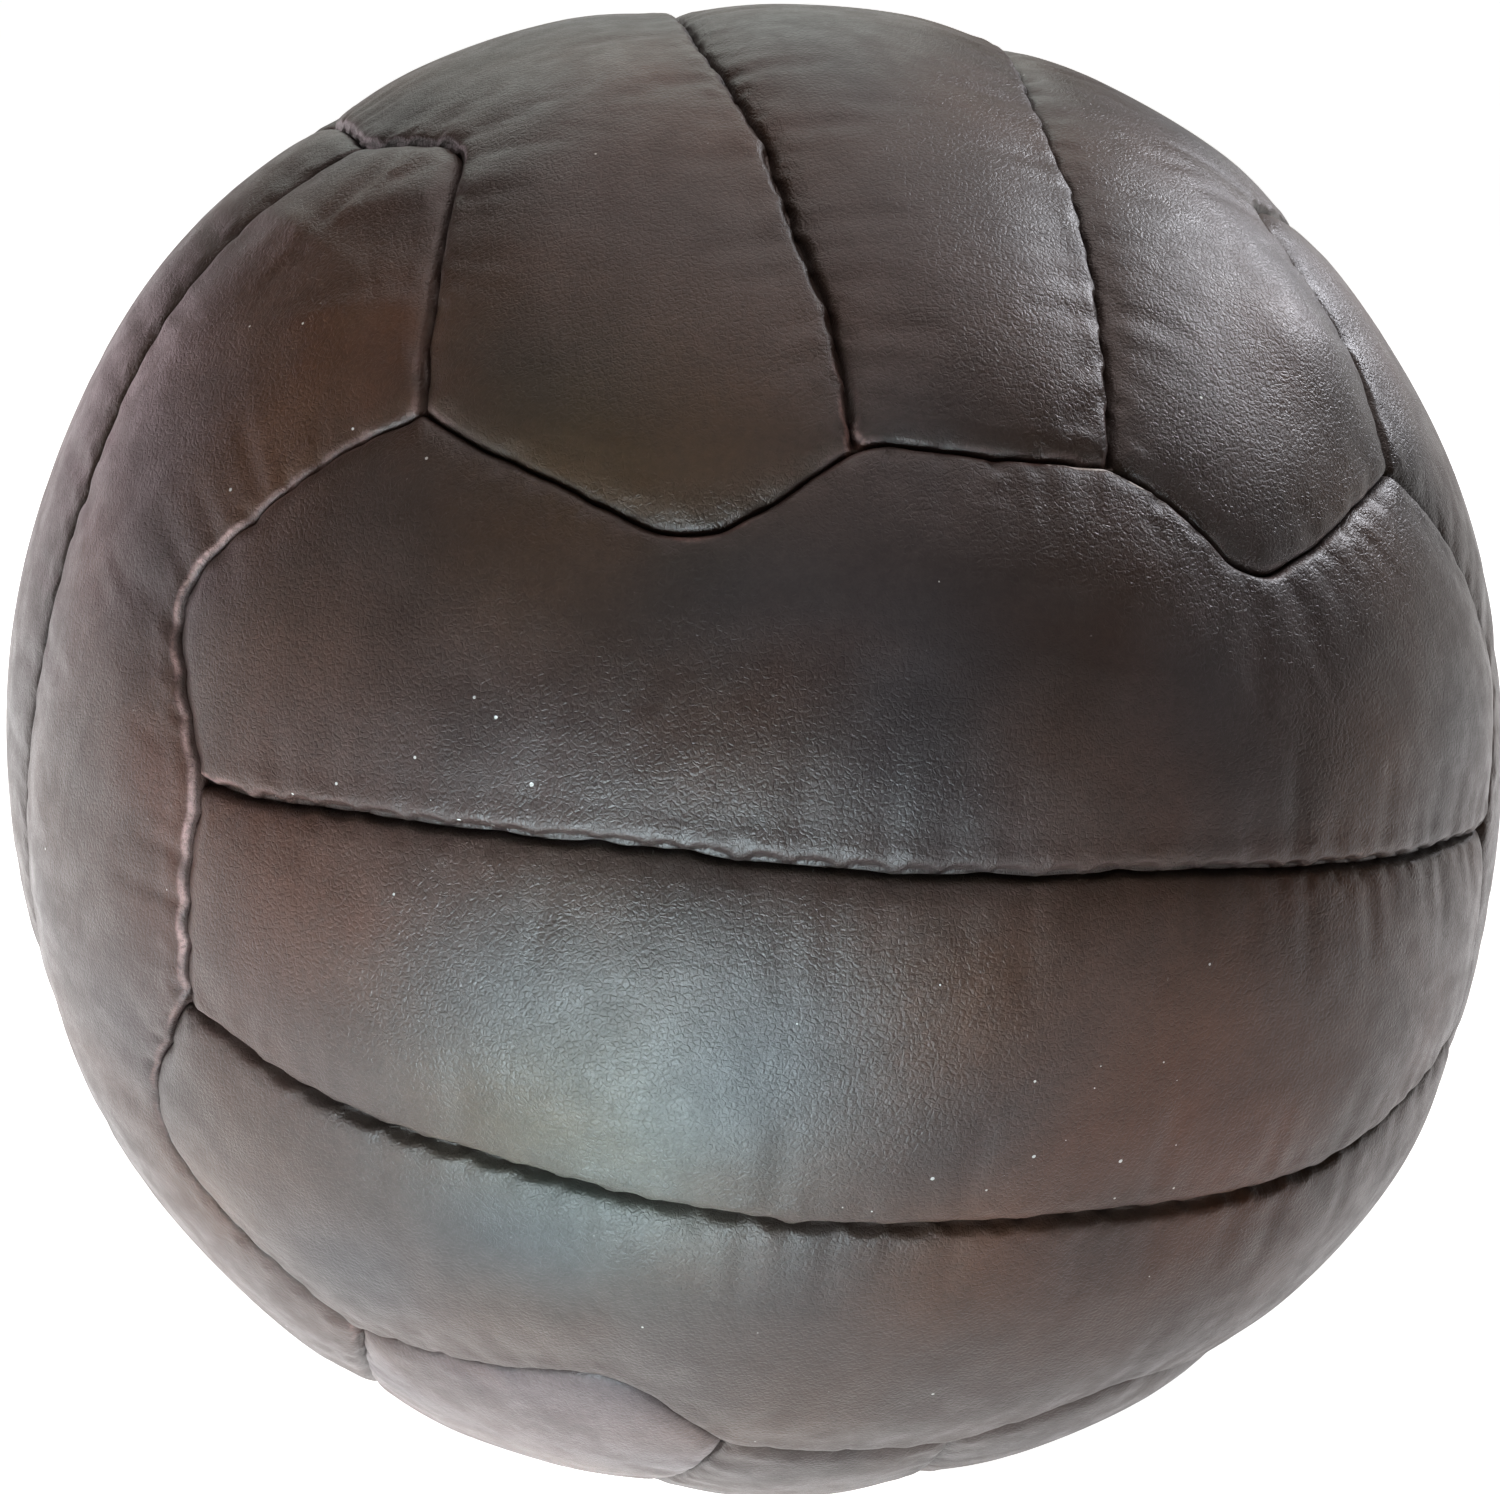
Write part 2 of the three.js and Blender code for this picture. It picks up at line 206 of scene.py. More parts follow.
# Where an edge is rubbed pale: a place, the reach in mm and how pale, from 0 to 1.
RUBS = (
    ((-0.66, -0.55, 0.51), 18, 0.8),
    ((-0.77, -0.52, 0.38), 18, 0.9),
    ((-0.80, -0.57, 0.18), 12, 0.5),
    ((-0.80, -0.60, 0.06), 16, 1.0),
    ((-0.79, -0.60, -0.07), 12, 0.9),
    ((-0.80, -0.52, -0.27), 14, 0.4),
    ((-0.15, -0.76, 0.63), 9, 1.0),
    ((0.05, -0.79, 0.61), 12, 0.5),
    ((-0.31, -0.81, 0.50), 8, 0.7),
    ((0.33, -0.80, 0.50), 8, 0.5),
    ((0.47, -0.69, 0.55), 12, 0.4),
    ((0.22, -0.79, 0.57), 12, 0.3),
    ((-0.56, -0.62, -0.55), 8, 0.6),
    ((0.18, -0.79, -0.60), 6, 0.8),
    ((0.33, -0.78, -0.53), 8, 0.5),
    ((0.62, 0.60, 0.50), 26, 0.6),
    ((-0.30, 0.85, 0.40), 24, 0.5),
    ((0.10, 0.50, 0.86), 20, 0.5),
)

# Where a raw edge shows as a thin white line: a place, the reach in mm and how white, from 0 to 1.
FRAYS = (
    ((0.16, -0.75, 0.64), 15, 1.0),
    ((0.52, -0.73, 0.44), 6, 0.7),
    ((0.12, -0.52, -0.84), 5, 1.0),
)

# Where dust has settled: a place and its reach in mm.
DUST = (((0.10, -0.99, -0.08), 26), ((-0.55, -0.80, 0.22), 18), ((-0.05, -0.97, 0.24), 12))


def unit(vectors):
    """The vectors at length 1."""
    return vectors / np.linalg.norm(vectors, axis=-1, keepdims=True)


def mix(a, b, f):
    """From a at f = 0 to b at f = 1."""
    return a + (b - a) * f


def ridge(away, at, width):
    """1 at this distance, falling softly to 0 on both sides of it."""
    return np.exp(-(((away - at) / width) ** 2))


def fading(away, reach):
    """1 at no distance, falling to 0 beyond its reach."""
    return np.exp(-away / reach)


def smooth_step(value, low, high):
    """From 0 at low to 1 at high, with soft ends."""
    f = ((value - low) / (high - low)).clip(0, 1)
    return f * f * (3 - 2 * f)


def resampled(points, fractions):
    """A line of points at these fractions of its length."""
    steps = np.linalg.norm(np.diff(points, axis=0), axis=1)
    length = np.concatenate([[0], np.cumsum(steps)])
    at = np.asarray(fractions) * length[-1]
    return np.stack([np.interp(at, length, axis) for axis in points.T], axis=1)


def nearness(points_mm, place, reach_mm):
    """1 at a place on the ball, falling softly to 0 beyond its reach."""
    away = np.linalg.norm(points_mm - unit(np.array(place)) * RADIUS_MM, axis=-1)
    return np.exp(-((away / reach_mm) ** 2))


def in_scene(name, data):
    """A new object in the scene, with this data."""
    thing = bpy.data.objects.new(name, data)
    bpy.context.scene.collection.objects.link(thing)
    return thing


# ---- Smooth noise, the same on every run ----


def noise(points_mm, seed, size_mm, count=24):
    """Smooth noise of about -1 to 1 at points, with features of about this size."""
    random = np.random.default_rng(seed)
    ways = unit(random.normal(size=(count, 3))) * random.uniform(0.6, 1.4, (count, 1))
    phases = random.uniform(0, 2 * math.pi, count)
    waves = np.sin(points_mm @ ways.T * (2 * math.pi / size_mm) + phases)
    return waves.sum(-1) * math.sqrt(2 / count) / 1.4


def ripple(along, seed, size_mm):
    """Smooth noise from -1 to 1 along a line."""
    knots = np.random.default_rng(seed).uniform(-1, 1, 400)
    place = along / size_mm + 20
    before = np.floor(place).astype(int).clip(0, 398)
    return mix(knots[before], knots[before + 1], smooth_step(place - before, 0, 1))


# ---- The seams, as lines of directions from the ball's centre ----


def zigzag_angles():
    """(along, over) down a whole zigzag seam, with rounded corners, evenly spaced."""
    f = np.linspace(0, 1, 40)[:, None]
    corner, tip_outer = np.array(CORNER), np.array(TIP_OUTER)
    long_edge = mix(corner, tip_outer, f) + [0, 1] * (4 * TIP_BULGE * f * (1 - f))
    half = np.vstack([long_edge, TIP_INNER, JUNCTION, MIDDLE])
    other_half = half[::-1][1:]
    whole = np.vstack([half * [-1, 1], other_half])
    even = resampled(whole, np.linspace(0, 1, 1201))
    window = round(ROUNDING / np.linalg.norm(even[1] - even[0]))
    before = 2 * even[0] - even[window:0:-1]
    after = 2 * even[-1] - even[-2 : -window - 2 : -1]
    padded = np.vstack([before, even, after])
    kernel = np.hanning(2 * window + 1)
    kernel /= kernel.sum()
    smooth = np.stack([np.convolve(axis, kernel, "valid") for axis in padded.T], axis=1)
    return resampled(smooth, np.linspace(0, 1, 601))


ZIGZAG = zigzag_angles()
LAST = len(ZIGZAG) - 1
JUNCTION_LOW = int(np.argmin(abs(ZIGZAG[:, 0] + JUNCTION[0])))
JUNCTION_HIGH = LAST - JUNCTION_LOW
JUNCTION_AT = abs(ZIGZAG[JUNCTION_LOW])


def edge_seam(edge, a, b):
    """The seam between the sides that face a and b, where the strips of b end."""
    along, over = np.radians(ZIGZAG.T)
    turn = math.radians(45) - over
    outwards = np.outer(np.cos(turn), a) + np.outer(np.sin(turn), b)
    return np.outer(np.sin(along), edge) + np.cos(along)[:, None] * outwards


def straight_seam(side, sign):
    """The seam between a side's middle strip and its low (-1) or high (+1) outer strip."""
    _, out, along, across, _, _ = side
    f = np.linspace(-1, 1, len(ZIGZAG))
    lengthwise = np.radians((45 + JUNCTION_AT[1]) * f)
    sideways = np.radians(mix(STRIP_HALF_WIDTH, JUNCTION_AT[0], f * f))
    return (
        np.outer(np.cos(sideways) * np.cos(lengthwise), out)
        + np.outer(np.cos(sideways) * np.sin(lengthwise), along)
        + np.outer(sign * np.sin(sideways), across)
    )


def sewn(directions):
    """Directions of the ideal pattern, moved to where the hand-cut and hand-sewn leather really is."""
    points = directions * RADIUS_MM
    wander = [noise(points, seed, WANDER_SIZE_MM) for seed in WANDER_SEEDS]
    stray = np.stack(wander, axis=-1) * WANDER_MM
    for place, way, reach in STRAYS:
        stray = stray + np.array(way) * nearness(points, place, reach)[..., None]
    return unit(points + stray)


def out_of_round(points_mm):
    """How far the ball's outline stands proud of a true ball, in mm, at points on it."""
    height = noise(points_mm, UNEVEN_SEED, UNEVEN_SIZE_MM) * UNEVEN_MM
    for place, reach, bulge in BULGES:
        height = height + bulge * nearness(points_mm, place, reach)
    return height


LEAN_RIPPLE, LEAN_RIPPLE_SIZE_MM = 0.55, 45  # how the leaning of a seam changes along it
STITCH_PLACE_MM = 0.5  # how unevenly the stitches are placed
STITCH_SWAY_MM = 0.3  # and how far each pulls the seam to one side
STITCH_PULL = (0.45, 1.3)  # from the loosest stitch to the tightest
TIGHT_GROOVE = 0.6  # a tight seam's groove, as a share of an open one's
USUAL_OPENING = 0.6

# How far the seams gape between their stitches: 0 where the lips lie tight, 1 where they gape most.
OPENINGS = {
    "strip_thread_front_upper": 1.0,
    "strip_thread_front_lower": 1.0,
    "strip_thread_top_left": 0.85,
    "strip_thread_top_right": 0.9,
    "edge_thread_front_top": 0.35,
    "edge_thread_left_front": 0.05,
}


class Seam:
    """One sewn seam: its line of directions, its length, and its own stitches and unevenness."""

    def __init__(self, name, line, lean, seed):
        self.name = name
        self.line = sewn(line)
        self.points = self.line * RADIUS_MM
        steps = np.linalg.norm(np.diff(self.points, axis=0), axis=1)
        self.length = np.concatenate([[0], np.cumsum(steps)])
        tangents = unit(np.gradient(self.line, axis=0))
        self.sideways = unit(np.cross(self.line, tangents))
        self.lean = lean
        self.open = OPENINGS.get(name, USUAL_OPENING)
        self.groove = GROOVE_MM * mix(TIGHT_GROOVE, 1, self.open)
        self.seed = seed
        random = np.random.default_rng(seed)
        count = round(self.length[-1] / STITCH_MM)
        pitch = self.length[-1] / count
        self.stitches = (np.arange(count) + 0.5) * pitch + random.normal(0, STITCH_PLACE_MM, count)
        self.pull = random.uniform(*STITCH_PULL, (2, count))
        self.sway = random.normal(0, STITCH_SWAY_MM, count)

    def raised(self, flank, along):
        """From -1 to 1: how far the lip on this flank (-1 or 1) stands over the other one."""
        lean = self.lean + LEAN_RIPPLE * ripple(along, self.seed + LEAN_SEED, LEAN_RIPPLE_SIZE_MM)
        return flank * lean.clip(-1, 1)

    def swayed(self, along):
        """How far the stitches pull the seam sideways, in mm, at places along it."""
        return self.comb(along, SWAY_WIDTH_MM, self.sway)

    def comb(self, along, width_mm, amounts):
        """Sum over the stitches of a bump of this half width, times each stitch's amount."""
        last = len(self.stitches) - 1
        after = np.searchsorted(self.stitches, along)
        total = np.zeros(len(along))
        for k in range(-2, 2):
            stitch = after + k
            real = (stitch >= 0) & (stitch <= last)
            stitch = stitch.clip(0, last)
            away = along - self.stitches[stitch]
            total += real * amounts[stitch] * np.exp(-((away / width_mm) ** 2))
        return total


# The seams where one lip plainly stands over the other: 1 where it belongs to a middle strip or to the
# strips that end at the seam, -1 where it is the other one. Elsewhere the lips are about level.
LEANS = {
    "strip_thread_front_upper": -0.85,
    "strip_thread_front_lower": 0.1,
    "edge_thread_front_top": -0.1,
    "edge_thread_left_front": -0.35,
    "strip_thread_top_left": -0.35,
    "strip_thread_top_right": 0.9,
}


# ---- The leather strips ----


def graded(length_mm, coarse_mm):
    """Fractions from 0 to 1, close together at both ends of a length."""
    steps = [SEAM_STEP_MM]
    while sum(steps) < length_mm / 2:
        steps.append(min(steps[-1] * 1.15, coarse_mm))
    half = np.concatenate([[0], np.cumsum(steps)])
    half = half / half[-1] / 2
    return np.concatenate([half, 1 - half[-2::-1]])


def edge_points(edge):
    """The points of one edge of a strip, from its start to its end."""
    seam, first, last, _ = edge
    return seam.line[first : last + 1] if first <= last else seam.line[last : first + 1][::-1]


def fine_fractions(outline):
    """(fractions along, fractions across) of a strip's fine grid."""
    long_mm = np.linalg.norm(np.diff(edge_points(outline[0]), axis=0), axis=1).sum() * RADIUS_MM
    return graded(long_mm, LONG_STEP_MM), graded(STRIP_WIDTH_MM, WIDE_STEP_MM)


def filled(outline, u, v):
    """A grid of directions that fills a strip's outline, as in the CAD. Row 0 is the low edge."""
    low, high, start, end = (edge_points(edge) for edge in outline)
    low, high = resampled(low, u), resampled(high, u)
    start, end = resampled(start, v), resampled(end, v)
    u, v = u[None, :, None], v[:, None, None]
    blend = low * (1 - v) + high * v
    start_pull = (start - blend[:, 0])[:, None] * (1 - u) ** PULL_FADE
    end_pull = (end - blend[:, -1])[:, None] * u**PULL_FADE
    return unit(blend + start_pull + end_pull)


def near_seam(points, edge):
    """Each point's distance to one edge of a strip, its place along the seam, and the way across there."""
    seam, first, last, _ = edge
    low, high = min(first, last), max(first, last)
    line, length = seam.points[low : high + 1], seam.length[low : high + 1]
    nearest = np.concatenate(
        [np.argmax(points[i : i + 4000] @ line.T, axis=1) for i in range(0, len(points), 4000)]
    )
    best = np.full(len(points), np.inf)
    along = np.zeros(len(points))
    for shift in (-1, 0):
        a = np.clip(nearest + shift, 0, len(line) - 2)
        step = line[a + 1] - line[a]
        f = np.clip(((points - line[a]) * step).sum(1) / (step * step).sum(1), 0, 1)
        away = np.linalg.norm(points - line[a] - step * f[:, None], axis=1)
        closer = away < best
        best = np.where(closer, away, best)
        along = np.where(closer, mix(length[a], length[a + 1], f), along)
    index = np.interp(along, seam.length, np.arange(len(seam.line))).astype(int)
    return best + SEAM_GAP_MM / 2, along, seam.sideways[index]


def simulated_swelling(outlines):
    """How far each strip swells between its seams, in mm on a coarse grid, by cloth simulation."""
    u, v = np.linspace(0, 1, CLOTH_COLUMNS), np.linspace(0, 1, CLOTH_ROWS)
    index = np.arange(CLOTH_ROWS * CLOTH_COLUMNS).reshape(CLOTH_ROWS, CLOTH_COLUMNS)
    cells = grid_faces(index)
    held = np.concatenate([index[0], index[-1], index[1:-1, 0], index[1:-1, -1]])
    points, faces, pins = [], [], []
    for i, (_, outline, turn) in enumerate(outlines):
        points.append(filled(outline, u, v).reshape(-1, 3))
        faces += (cells[:, ::turn] + i * index.size).tolist()
        pins += (held + i * index.size).tolist()
    start = np.vstack(points) * RADIUS_MM * CLOTH_UNITS_PER_MM
    mesh = bpy.data.meshes.new("cloth")
    mesh.from_pydata(start.tolist(), [], faces)
    cloth = in_scene("cloth", mesh)
    cloth.vertex_groups.new(name="sewn").add(pins, 1.0, "REPLACE")
    settings = cloth.modifiers.new("stuffing", "CLOTH").settings
    settings.vertex_group_mass = "sewn"
    settings.quality = CLOTH_QUALITY
    settings.tension_stiffness = settings.compression_stiffness = CLOTH_STIFFNESS
    settings.bending_stiffness = CLOTH_BENDING
    settings.use_pressure = True
    settings.uniform_pressure_force = CLOTH_PRESSURE
    settings.shrink_min = -CLOTH_SLACK
    settings.effector_weights.gravity = 0
    for frame_number in range(1, CLOTH_FRAMES + 1):
        bpy.context.scene.frame_set(frame_number)
    swollen = cloth.evaluated_get(bpy.context.evaluated_depsgraph_get()).data
    moved = np.empty(start.size, np.float32)
    swollen.vertices.foreach_get("co", moved)
    rise = np.linalg.norm(moved.reshape(-1, 3), axis=1) / CLOTH_UNITS_PER_MM - RADIUS_MM
    bpy.data.objects.remove(cloth)
    bpy.data.meshes.remove(mesh)
    bpy.context.scene.frame_set(1)
    return rise.clip(0, CLOTH_LIMIT_MM).reshape(len(outlines), CLOTH_ROWS, CLOTH_COLUMNS)


def spline(values, at):
    """Rows of values at evenly spaced places from 0 to 1, smoothly between them at other places."""
    place = at * (len(values) - 1)
    k = np.floor(place).astype(int).clip(0, len(values) - 2)
    f = (place - k)[:, None]
    a, b, c, d = (values[(k + shift).clip(0, len(values) - 1)] for shift in (-1, 0, 1, 2))
    return b + 0.5 * f * (c - a + f * (2 * a - 5 * b + 4 * c - d + f * (3 * (b - c) + d - a)))


class Surface:
    """The outside of one strip over its grid: radius, and what wear and colour depend on."""

    def __init__(self, directions, outline, swelling):
        self.points = directions.reshape(-1, 3) * RADIUS_MM
        count = len(self.points)
        self.lip = np.zeros(count)  # how deep the turned edge lies
        self.slope = np.zeros(count)  # how deep the slope to the seams lies
        self.rise = np.zeros(count)  # stitches, wrinkles and lobes
        self.moved = np.zeros((count, 3))
        self.away = np.full(count, np.inf)
        self.swelling = swelling.ravel() * CLOTH_SHARE
        self.rubbed = np.zeros(count)
        self.frayed = np.zeros(count)
        self.gather = sum(depth * nearness(self.points, place, reach) for place, reach, depth in GATHERS)
        for edge in outline:
            self.shape_edge(edge)

    def shape_edge(self, edge):
        """Adds the lip, the slope, the relief and the wear along one edge."""
        seam, _, _, flank = edge
        away, along, across = near_seam(self.points, edge)
        self.away = np.minimum(self.away, away)
        raised = seam.raised(flank, along)
        pinch = seam.comb(along, PINCH_MM, seam.pull[(flank + 1) // 2])
        gape = GAPE_MM * seam.open * (0.8 + 0.4 * raised) * (1 - pinch).clip(0, 1)
        self.round_off(seam, away, away - gape, raised)
        self.stitch(seam, away, along, raised, pinch)
        self.wrinkle(seam, away, along)
        self.rubbed += (0.45 + 0.8 * raised).clip(0, 1) * ridge(away - gape, RUB_AT_MM, RUB_WIDTH_MM)
        if flank < 0:
            self.frayed += (1 - seam.open) * ridge(away - gape, FRAY_AT_MM, FRAY_WIDTH_MM)
        self.moved += across * (seam.swayed(along) * fading(away, SWAY_REACH_MM))[:, None]

    def round_off(self, seam, away, from_edge, raised):
        """Turns the edge in and slopes the leather down to it, further where the other lip is higher."""
        inward = 1 - (from_edge / LIP_MM).clip(0, 1)
        lip = seam.groove * (1 - np.sqrt(1 - inward**2))
        self.lip = np.maximum(self.lip, lip)
        shoulder = SHOULDER_MM * ridge(away, 0, SHOULDER_WIDTH_MM)
        tuck = TUCK_MM * (TUCK_LEVEL - TUCK_LEAN * raised).clip(0.03)
        tuck *= np.exp(-((away / TUCK_WIDTH_MM) ** 1.6))
        self.slope = (self.slope**3 + (shoulder + tuck) ** 3) ** (1 / 3)

    def stitch(self, seam, away, along, raised, pinch):
        """Dents the edge at each stitch, heaps it up behind, and rolls it."""
        strength = 0.85 + 0.4 * ripple(along, seam.seed + STRENGTH_SEED, 25)
        self.rise -= DENT_MM * strength * pinch * fading(away, DENT_REACH_MM)
        self.rise += ROLL_MM * (1 + raised) * ridge(away, ROLL_AT_MM, ROLL_WIDTH_MM)
        self.rise += LOBE_MM * strength * pinch * ridge(away, LOBE_AT_MM, LOBE_WIDTH_MM)

    def wrinkle(self, seam, away, along):
        """Creases and folds the leather across the seam, more where it is gathered."""
        creased = (0.25 + ripple(along, seam.seed + CREASED_SEED, 30)).clip(0.05)
        crease = ripple(along + CREASE_SKEW * away, seam.seed + CREASE_SEED, CREASE_PITCH_MM)
        self.rise += CREASE_MM * creased * crease * fading(away, CREASE_REACH_MM)
        fold = ripple(along + FOLD_SKEW * away, seam.seed + FOLD_SEED, FOLD_PITCH_MM)
        self.rise += FOLD_MM * fold * fading(away, FOLD_REACH_MM)
        reach = GATHER_REACH_MM + GATHER_MORE_REACH_MM * self.gather.clip(0, 1)
        gathered = GATHER_SHARE * self.gather * fold
        self.rise += gathered * smooth_step(away, 0, GATHER_START_MM) * fading(away, reach)

    def outside(self):
        """The points of the outside, in mm from the ball's centre."""
        radius = RADIUS_MM + out_of_round(self.points) - self.lip - self.slope + self.rise
        radius += self.swelling - SWELL_MM
        return settled(unit(self.points + self.moved) * radius[:, None])

    def inside(self, outside):
        """The points of the flesh side, and of the inner ends of the turned-in edges."""
        depth = np.linalg.norm(outside, axis=1) - LEATHER_MM - 0.3
        inner = mix(FLANGE_MM, np.maximum(depth, FLANGE_MM), smooth_step(self.away, LEATHER_MM, 4.2))
        return settled(unit(self.points + self.moved) * inner[:, None], LEATHER_MM)

    def worn(self, places, noise_seed, noise_mm):
        """From 0 to 1 round these places on the ball, patchy."""
        amount = sum(strength * nearness(self.points, place, reach) for place, reach, strength in places)
        return amount * (0.6 + 0.4 * noise(self.points, noise_seed, noise_mm))

    def rub(self):
        """How far the leather is rubbed pale."""
        return (RUB_STRENGTH * self.rubbed * self.worn(RUBS, RUB_SEED, 7)).clip(0, 1)

    def fray(self):
        """How far a raw white edge shows."""
        return (FRAY_STRENGTH * self.frayed * self.worn(FRAYS, FRAY_SEED, 3)).clip(0, 1)

    def dust(self):
        """How much dust has settled."""
        return sum(nearness(self.points, place, reach) for place, reach in DUST).clip(0, 1)

    def seam_shade(self):
        """How dark the seams are painted, as shade in their grooves."""
        return ridge(self.away, 0, SEAM_SHADE_WIDTH_MM)


FLIPPED = [0, 3, 2, 1]  # a face's points, to turn it over


def grid_faces(index):
    """The four-sided faces between rows of point numbers."""
    return np.stack([index[:-1, :-1], index[:-1, 1:], index[1:, 1:], index[1:, :-1]], -1).reshape(-1, 4)


def ring_faces(index):
    """The same, where each row closes into a ring."""
    return grid_faces(np.hstack([index, index[:, :1]]))


def settled(points, over_floor_mm=0.0):
    """Points pressed flat where they would pass through the floor."""
    pressed = points.copy()
    pressed[..., 2] = np.maximum(points[..., 2], FLOOR_MM + over_floor_mm)
    return pressed


def made(name, points_mm, faces):
    """A mesh object from points in mm around the ball's centre."""
    mesh = bpy.data.meshes.new(name)
    mesh.from_pydata((np.asarray(points_mm) * MM + CENTRE).tolist(), [], faces)
    mesh.validate()
    mesh.shade_smooth()
    piece = in_scene(name, mesh)
    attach(piece, "root")
    return piece


def paint(piece, name, values):
    """Keeps a number or a colour for every point of a piece, for its material."""
    kind = "FLOAT" if values.ndim == 1 else "FLOAT_COLOR"
    layer = piece.data.attributes.new(name, kind, "POINT")
    if values.ndim == 1:
        layer.data.foreach_set("value", values.astype(np.float32))
    else:
        alpha = np.ones((len(values), 1))
        layer.data.foreach_set("color", np.hstack([values, alpha]).astype(np.float32).ravel())


def strip(name, outline, turn, swelling):
    """One leather strip: its outside, its flesh side and its turned-in edges, closed all round."""
    u, v = fine_fractions(outline)
    directions = filled(outline, u, v)
    rows, columns = directions.shape[:2]
    surface = Surface(directions, outline, spline(spline(swelling, v).T, u).T)
    outside = surface.outside()
    inside = surface.inside(outside)
    count = len(outside)
    index = np.arange(count).reshape(rows, columns)
    over = grid_faces(index)
    under = over[:, ::-1] + count
    rim = np.concatenate([index[0, :-1], index[:-1, -1], index[-1, :0:-1], index[:0:-1, 0]])
    following = np.roll(rim, -1)
    wall = np.stack([following, rim, rim + count, following + count], axis=-1)
    faces = np.vstack([over, under, wall])
    if turn < 0:
        faces = faces[:, ::-1]
    piece = made(name, np.vstack([outside, inside]), faces.tolist())
    for layer in ("rub", "fray", "dust", "seam_shade"):
        paint(piece, layer, np.concatenate([getattr(surface, layer)(), np.zeros(count)]))
    paint(piece, "tint", np.vstack([tints(surface.points, name)] * 2))
    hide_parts(name.replace("cover_", "panel_"))
    return piece


# The dye, as linear colours: the usual brown, and stains as a place, a reach in mm and a colour. The
# bottom-left strip's tint and two of the stains are a painted sheen, painted shade and a painted
# highlight's tint, not dye.
BROWN = np.array([0.054, 0.036, 0.031])
STRIP_TINTS = {
    "cover_front_upper": (0.84, 0.82, 0.84),
    "cover_front_middle": (1.05, 1.0, 0.97),
    "cover_top_left": (1.0, 0.96, 0.94),
    "cover_top_middle": (0.92, 0.88, 0.87),
    "cover_left_front": (1.12, 1.0, 0.98),
    # painted sheen: the bottom-left strip made pale and bluish, standing in for the whitened reflection
    # along the bottom left
    "cover_bottom_left": (2.1, 2.4, 2.8),
}
STAINS_AND_PAINTED_LIGHT = (
    ((-0.72, -0.68, 0.05), 30, (1.35, 0.98, 0.85)),
    ((0.25, -0.90, -0.12), 40, (1.3, 0.95, 0.75)),
    ((-0.40, -0.70, 0.60), 26, (1.0, 1.02, 0.72)),
    ((-0.66, -0.40, 0.58), 22, (1.15, 1.0, 0.72)),
    ((0.45, -0.72, -0.10), 40, (1.2, 1.0, 0.85)),
    ((-0.10, -0.90, 0.38), 40, (0.92, 0.96, 1.0)),
    # painted shade: darkens the lower right of the ball
    ((0.58, -0.72, -0.38), 55, (0.42, 0.34, 0.31)),
    # painted highlight: the teal tint of the lower front highlight, put into the dye where the pool's
    # reflection falls
    ((-0.37, -0.92, -0.13), 28, (1.1, 1.9, 2.0)),
)


def tints(points, name):
    """The dye's colour at points on a strip, with the painted sheen, shade and highlight tint that some
    tints and stains add.
    """
    colour = np.tile(BROWN * STRIP_TINTS.get(name, (1, 1, 1)), (len(points), 1))
    for place, reach, tint in STAINS_AND_PAINTED_LIGHT:
        stain = nearness(points, place, reach)[:, None]
        colour = colour * mix(1, np.array(tint), stain)
    warm = noise(points, WARM_SEED, 38)[:, None] * [0.10, 0.0, -0.10]
    tone = noise(points, TONE_SEED, 52)[:, None] * 0.10
    return colour * (1 + warm + tone)


def make_seams():
    """The straight seams by (side, sign), and the zigzag ones by the way the two sides face."""
    straight, zigzag = {}, {}
    seed = FIRST_SEAM_SEED
    for side in SIDES:
        name, out, along, across, ends, strips = side
        for sign, end, strip_name in zip((-1, 1), ends, strips):
            beside = sign * across
            straight_name, edge_name = f"strip_thread_{name}_{strip_name}", f"edge_thread_{name}_{end}"
            line, edge = straight_seam(side, sign), edge_seam(along, out, beside)
            straight[(name, sign)] = Seam(straight_name, line, LEANS.get(straight_name, 0), seed)
            zigzag[(tuple(out), tuple(beside))] = Seam(edge_name, edge, LEANS.get(edge_name, 0), seed + 1)
            seed += 2
    return straight, zigzag


def make_outlines(straight, zigzag):
    """(name, four edges, which way round they run) of every strip. An edge is a seam, the range of its
    points, and the flank of the seam that the strip lies on."""
    outlines = []
    for name, out, along, across, _, strips in SIDES:
        hand = int(np.sign(np.dot(np.cross(along, across), out)))
        start, end = zigzag[(tuple(-along), tuple(out))], zigzag[(tuple(along), tuple(out))]
        middle = (
            (straight[(name, -1)], 0, LAST, 1),
            (straight[(name, 1)], 0, LAST, 1),
            (start, JUNCTION_LOW, JUNCTION_HIGH, 1),
            (end, JUNCTION_LOW, JUNCTION_HIGH, 1),
        )
        outlines.append((f"cover_{name}_middle", middle, hand))
        for sign, strip_name in zip((-1, 1), strips):
            junction, corner = (JUNCTION_HIGH, LAST) if sign > 0 else (JUNCTION_LOW, 0)
            outer = (
                (straight[(name, sign)], 0, LAST, -1),
                (zigzag[(tuple(out), tuple(sign * across))], 0, LAST, -1),
                (start, junction, corner, 1),
                (end, junction, corner, 1),
            )
            outlines.append((f"cover_{name}_{strip_name}", outer, hand * sign))
    return outlines


def make_cover():
    """Every leather strip, and the seams between them."""
    straight, zigzag = make_seams()
    outlines = make_outlines(straight, zigzag)
    swelling = (simulated_swelling)(outlines)
    cover = [strip(*outline, swell) for outline, swell in zip(outlines, swelling)]
    return cover, [*straight.values(), *zigzag.values()]


# ---- Thread, inner bag and stuffing ----

